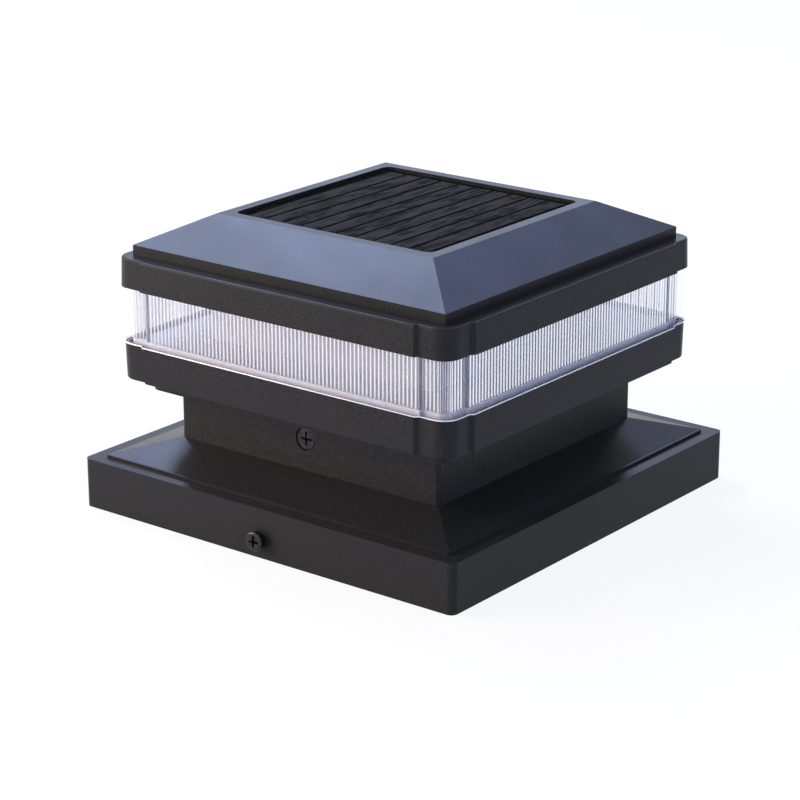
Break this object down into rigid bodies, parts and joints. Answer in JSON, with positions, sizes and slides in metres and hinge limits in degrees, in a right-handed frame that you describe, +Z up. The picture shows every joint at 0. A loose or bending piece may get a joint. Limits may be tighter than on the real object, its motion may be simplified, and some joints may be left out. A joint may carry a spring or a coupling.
{
  "type": "deck post cap light",
  "caption": "Square solar deck post cap light: ribbed lens ring between two bands, sloped roof with a solar panel, square neck and a wide skirt that drops over a post.",
  "frame": {"origin": "middle of the skirt's bottom rim, on the axis of the square post", "axes": "+Z up the post, +Y and -Y out of the two faces with the screws"},
  "size_m": [0.16, 0.1664, 0.1033],
  "materials": {
    "black_abs": "moulded with a fine grain",
    "clear_pc": "clear moulded, ribbed inside",
    "pale_abs": "smooth moulded",
    "silicone": "matt",
    "foam": "matt foam tape",
    "panel_black": "smooth resist on glass fibre board",
    "cell": "etched silicon",
    "film": "clear sheet",
    "board_white": "white resist",
    "led": "phosphor gel",
    "board_green": "green resist",
    "part_black": "moulded",
    "white_plastic": "smooth",
    "steel": "zinc plated",
    "black_steel": "black oxide",
    "cell_wrap": "shrink sleeve",
    "wire_red": "soft sheath",
    "wire_black": "soft sheath"
  },
  "bodies": {
    "lamp": {"post_skirt": "black_abs", "neck_sleeve": "black_abs", "lower_housing": "black_abs", "lens_ring": "clear_pc", "top_cover": "black_abs", "lower_gasket": "silicone", "upper_gasket": "silicone", "panel_tape": "foam", "panel_board": "panel_black", "solar_cells": "cell", "panel_film": "film", "reflector_core": "pale_abs", "led_boards": "board_white", "led_chips": "led", "control_board": "board_green", "board_parts": "part_black", "board_screws": "steel", "push_switch": "part_black", "button_spring": "steel", "battery_cell": "cell_wrap", "contact_spring": "steel", "contact_tab": "steel", "tie_screws": "steel", "neck_screws": "black_steel", "post_screws": "black_steel", "panel_lead_red": "wire_red", "panel_lead_black": "wire_black", "battery_lead_red": "wire_red", "battery_lead_black": "wire_black", "led_lead_red": "wire_red", "led_lead_black": "wire_black", "led_jumpers": "wire_black"},
    "button": {"power_button": "black_abs", "switch_stem": "white_plastic", "button_seal": "silicone"},
    "door": {"battery_door": "black_abs", "door_seal": "silicone", "door_screws": "steel"}
  },
  "joints": [
    {"name": "button_press", "type": "slide", "parent": "lamp", "child": "button", "axis": [0, 0, 1], "range_m": [0, 0.0015], "stiffness_N_per_m": 400, "springref_m": -0.0008, "deforming": ["button_spring"]},
    {"name": "battery_door_lift", "type": "slide", "parent": "lamp", "child": "door", "axis": [0, 0, -1], "range_m": [0, 0.025]}
  ]
}
